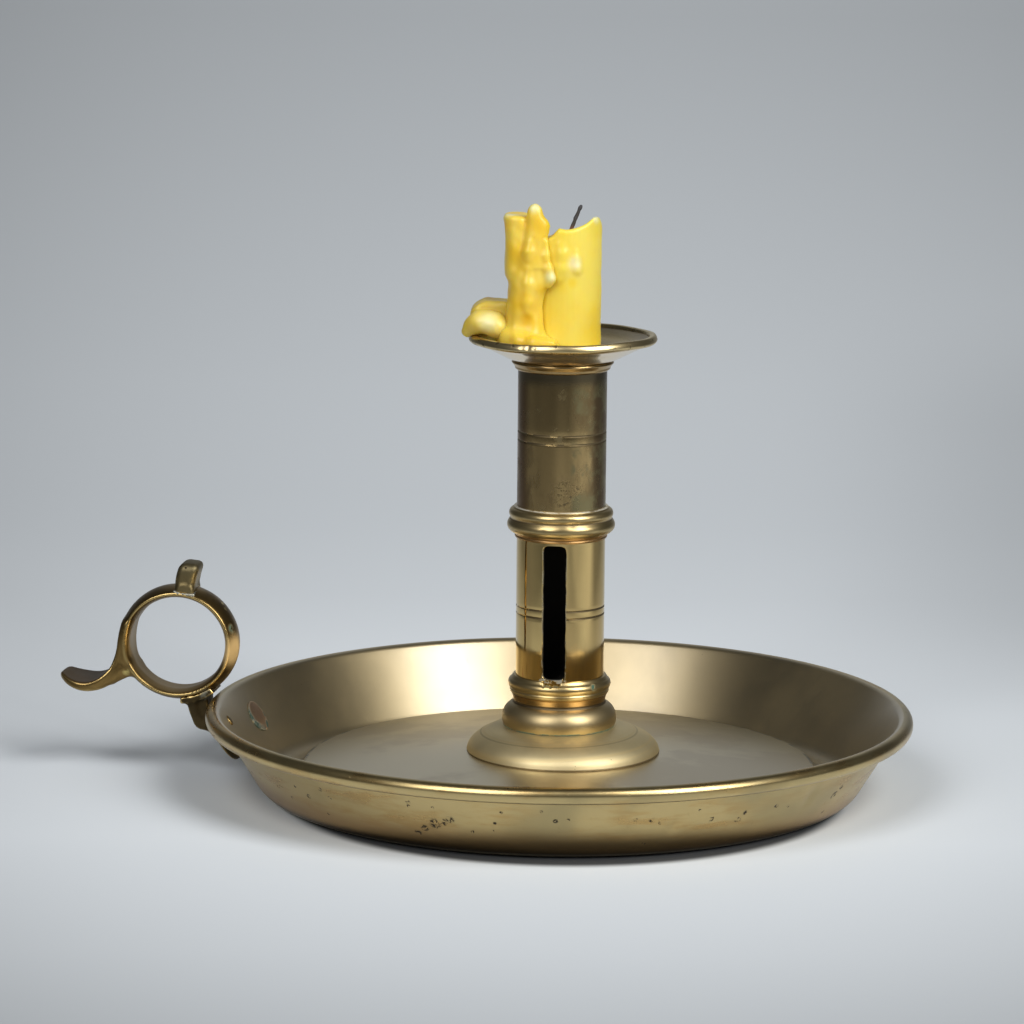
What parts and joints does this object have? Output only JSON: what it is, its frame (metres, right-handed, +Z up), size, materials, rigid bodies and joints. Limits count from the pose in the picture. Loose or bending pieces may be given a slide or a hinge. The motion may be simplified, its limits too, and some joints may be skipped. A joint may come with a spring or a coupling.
{
  "type": "chamberstick",
  "caption": "Brass chamberstick: a wide flared dish with a slotted tubular stem, drip pan, finger-ring handle and a guttered yellow candle stub.",
  "frame": {"origin": "centre of the flat ring that the pan stands on, on the stem's axis, at table level", "axes": "+Z up along the stem; the handle lies along -X; the ejector slot faces -Y"},
  "size_m": [0.2358, 0.1926, 0.1608],
  "materials": {
    "pan_brass": "polished and worn, with an olive patina",
    "collar_brass": "polished, with dark lines in the hollows",
    "tube_brass": "satin, with a grey-olive patina",
    "handle_brass": "polished by use, dark in the hollows",
    "rivet_copper": "dull copper with a rim of tin and green",
    "iron_wire": "drawn wire",
    "candle_wax": "soft waxy sheen",
    "wick_cotton": "charred, brown at its foot"
  },
  "bodies": {
    "stick": {"pan": "pan_brass", "rim_wire": "iron_wire", "stem_boss": "pan_brass", "base_collar": "collar_brass", "stem_tube": "tube_brass", "mid_collar": "collar_brass", "neck_ring": "collar_brass", "drip_pan": "pan_brass", "stem_plug": "tube_brass", "tenon_washer": "tube_brass", "handle_ring": "handle_brass", "thumb_rest": "handle_brass", "handle_bracket": "handle_brass", "copper_rivet": "rivet_copper", "small_rivet": "handle_brass"},
    "ejector": {"ejector_cup": "tube_brass", "ejector_spring": "tube_brass"},
    "candle_stub": {"candle": "candle_wax", "wax_gutter": "candle_wax", "wax_spill": "candle_wax", "wick": "wick_cotton"}
  },
  "joints": [
    {"name": "ejector_slide", "type": "slide", "parent": "stick", "child": "ejector", "axis": [0, 0, 1], "range_m": [-0.036, 0]},
    {"name": "candle_lift", "type": "slide", "parent": "stick", "child": "candle_stub", "axis": [0, 0, 1], "range_m": [0, 0.046]}
  ]
}
